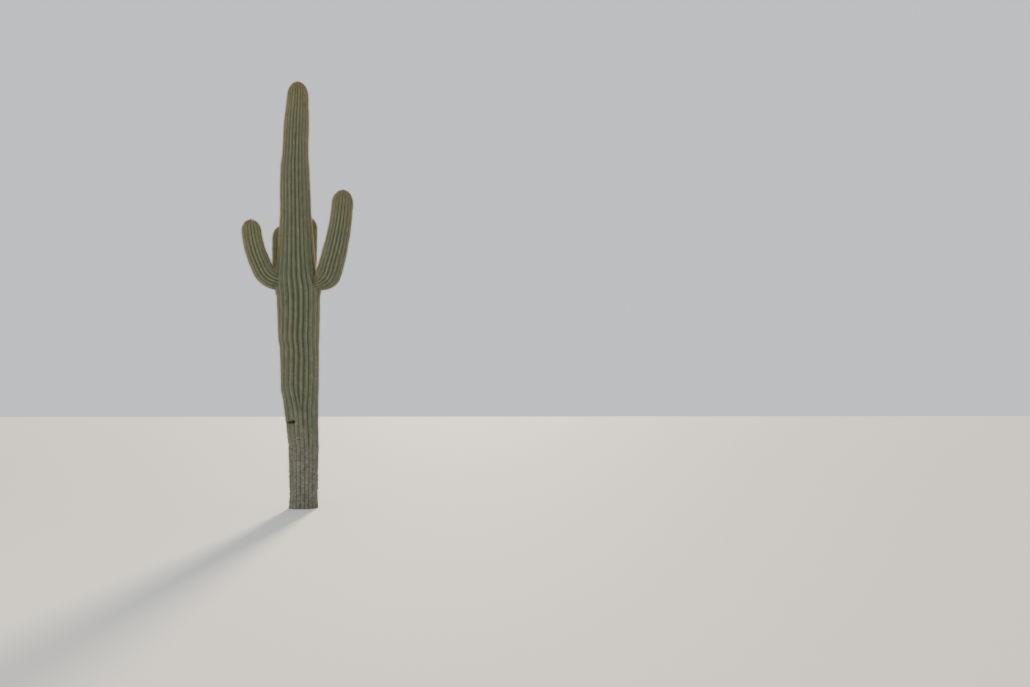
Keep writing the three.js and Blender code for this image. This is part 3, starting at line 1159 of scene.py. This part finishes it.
def spine_tone(age, above_foot, areole_tone, luck, always_amber):
    """The number of each spine's tone: amber near the tips, then honey and straw, and ash where old."""
    amber = np.exp(-((age / AMBER["reach"]) ** AMBER["steepness"])) * AMBER["share"] + always_amber
    weathered = mix(WEATHERED["low"], WEATHERED["high"], above_foot) * smooth(age, *WEATHERED["ages"])
    grown = 1 - weathered
    bounds = (amber, mix(amber, grown, HONEY_SHARE), grown, 1 - weathered * BLEACHED_SHARE)
    value = mix(luck, areole_tone, AREOLE_LIKENESS)
    return sum((value > bound).astype(int) for bound in bounds)


class CACTUS_OT_spines(bpy.types.Operator):
    """Grow the spines of every areole"""

    bl_idname = "cactus.spines"
    bl_label = "Spines"

    def execute(self, context):
        settings = context.scene.cactus_spines
        materials = [
            spine_wood(f"{tone}_spine_wood", getattr(settings, tone), roughness)
            for tone, roughness in SPINE_TONES.items()
        ]
        for limb in LIMBS:
            *shape, tones = spine_arrays(limb, settings)
            for index, tone in enumerate(SPINE_TONES):
                points, faces = needles(*(values[tones == index] for values in shape))
                piece = joined(f"spines_{limb.name}_{tone}", points, faces, materials[index])
                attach(piece, "root")
        return {"FINISHED"}


# Headings are degrees from +Y towards +X, and pitch and height are degrees above level. The lens
# and the sensor are in mm.
CAMERA_HEADING = 11.824
CAMERA_PITCH = 3.913
LENS = 35
SENSOR = 36
SUN_HEADING = 8.73
SUN_HEIGHT = 15.8
SUN_AWAY = 20
SUN_WIDTH = 5  # in degrees, for soft shadows
SUN_COLOUR = "#ffecd0"
KEY_PLACE = (-7, -11, 8)
KEY_SPAN = 5
KEY_COLOUR = "#fff6ea"
FLOOR_SPAN = 600


def aimed_lamp(name, kind, place, target, **settings):
    """A lamp at a place, turned to face a target."""
    lamp = bpy.data.lights.new(name, kind)
    for key, value in settings.items():
        setattr(lamp, key, value)
    holder = bpy.data.objects.new(name, lamp)
    holder.location = place
    holder.rotation_euler = (Vector(target) - Vector(place)).to_track_quat("-Z", "Y").to_euler()
    bpy.context.collection.objects.link(holder)


class CACTUS_OT_stage(bpy.types.Operator):
    """Lay the floor, hang the lights and set the camera"""

    bl_idname = "cactus.stage"
    bl_label = "Stage"

    def execute(self, context):
        settings = context.scene.cactus_stage
        bpy.ops.object.select_all(action="DESELECT")
        bpy.ops.mesh.primitive_plane_add(size=FLOOR_SPAN, location=(0, 0, 0))
        floor = context.object
        floor.name = "floor"
        floor.data.materials.append(ground_sheet())

        world = bpy.data.worlds.new("pale_surround")
        world.use_nodes = True
        context.scene.world = world
        surround = world.node_tree.nodes["Background"]
        surround.inputs["Color"].default_value = opaque(settings.sky)
        surround.inputs["Strength"].default_value = settings.sky_power

        heading = math.radians(SUN_HEADING)
        height = math.radians(SUN_HEIGHT)
        towards_sun = Vector((
            math.sin(heading) * math.cos(height),
            math.cos(heading) * math.cos(height),
            math.sin(height),
        ))
        middle = Vector((0, 0, HEIGHT / 2))
        aimed_lamp(
            "low_back_light", "SUN", middle + towards_sun * SUN_AWAY, middle,
            energy=settings.sun_power, angle=math.radians(SUN_WIDTH), color=linear(SUN_COLOUR),
        )
        aimed_lamp(
            "soft_key", "AREA", KEY_PLACE, middle,
            energy=settings.key_power, shape="DISK", size=KEY_SPAN, color=linear(KEY_COLOUR),
        )

        eye = bpy.data.cameras.new("camera")
        eye.lens = LENS
        eye.sensor_width = SENSOR
        eye.clip_end = 2 * FLOOR_SPAN
        camera = bpy.data.objects.new("camera", eye)
        camera.location = (0, -settings.distance, settings.eye_height)
        camera.rotation_euler = (math.radians(90 + CAMERA_PITCH), 0, -math.radians(CAMERA_HEADING))
        context.collection.objects.link(camera)
        context.scene.camera = camera
        return {"FINISHED"}


OPERATORS = (
    CACTUS_OT_stage,
    CACTUS_OT_trunk,
    CACTUS_OT_arms,
    CACTUS_OT_felt,
    CACTUS_OT_spines,
)


class CACTUS_PT_panel(bpy.types.Panel):
    """Lists the settings and the pieces to grow"""

    bl_idname = "CACTUS_PT_panel"
    bl_label = "Saguaro cactus"
    bl_space_type = "VIEW_3D"
    bl_region_type = "UI"
    bl_category = "Cactus"

    def draw(self, context):
        for group in (context.scene.cactus_skin, context.scene.cactus_spines, context.scene.cactus_stage):
            box = self.layout.box()
            for name in group.__annotations__:
                box.prop(group, name)
        for operator in OPERATORS:
            self.layout.operator(operator.bl_idname)


SETTINGS = {
    "cactus_skin": CactusSkinSettings,
    "cactus_spines": CactusSpineSettings,
    "cactus_stage": CactusStageSettings,
}


def register():
    for kind in (*SETTINGS.values(), *OPERATORS, CACTUS_PT_panel):
        bpy.utils.register_class(kind)
    for name, kind in SETTINGS.items():
        setattr(bpy.types.Scene, name, PointerProperty(type=kind))


def unregister():
    for name in SETTINGS:
        delattr(bpy.types.Scene, name)
    for kind in reversed((*SETTINGS.values(), *OPERATORS, CACTUS_PT_panel)):
        bpy.utils.unregister_class(kind)


def main():
    register()
    bpy.ops.cactus.stage()
    bpy.ops.cactus.trunk()
    bpy.ops.cactus.arms()
    bpy.ops.cactus.felt()
    bpy.ops.cactus.spines()


if __name__ == "__main__":
    main()
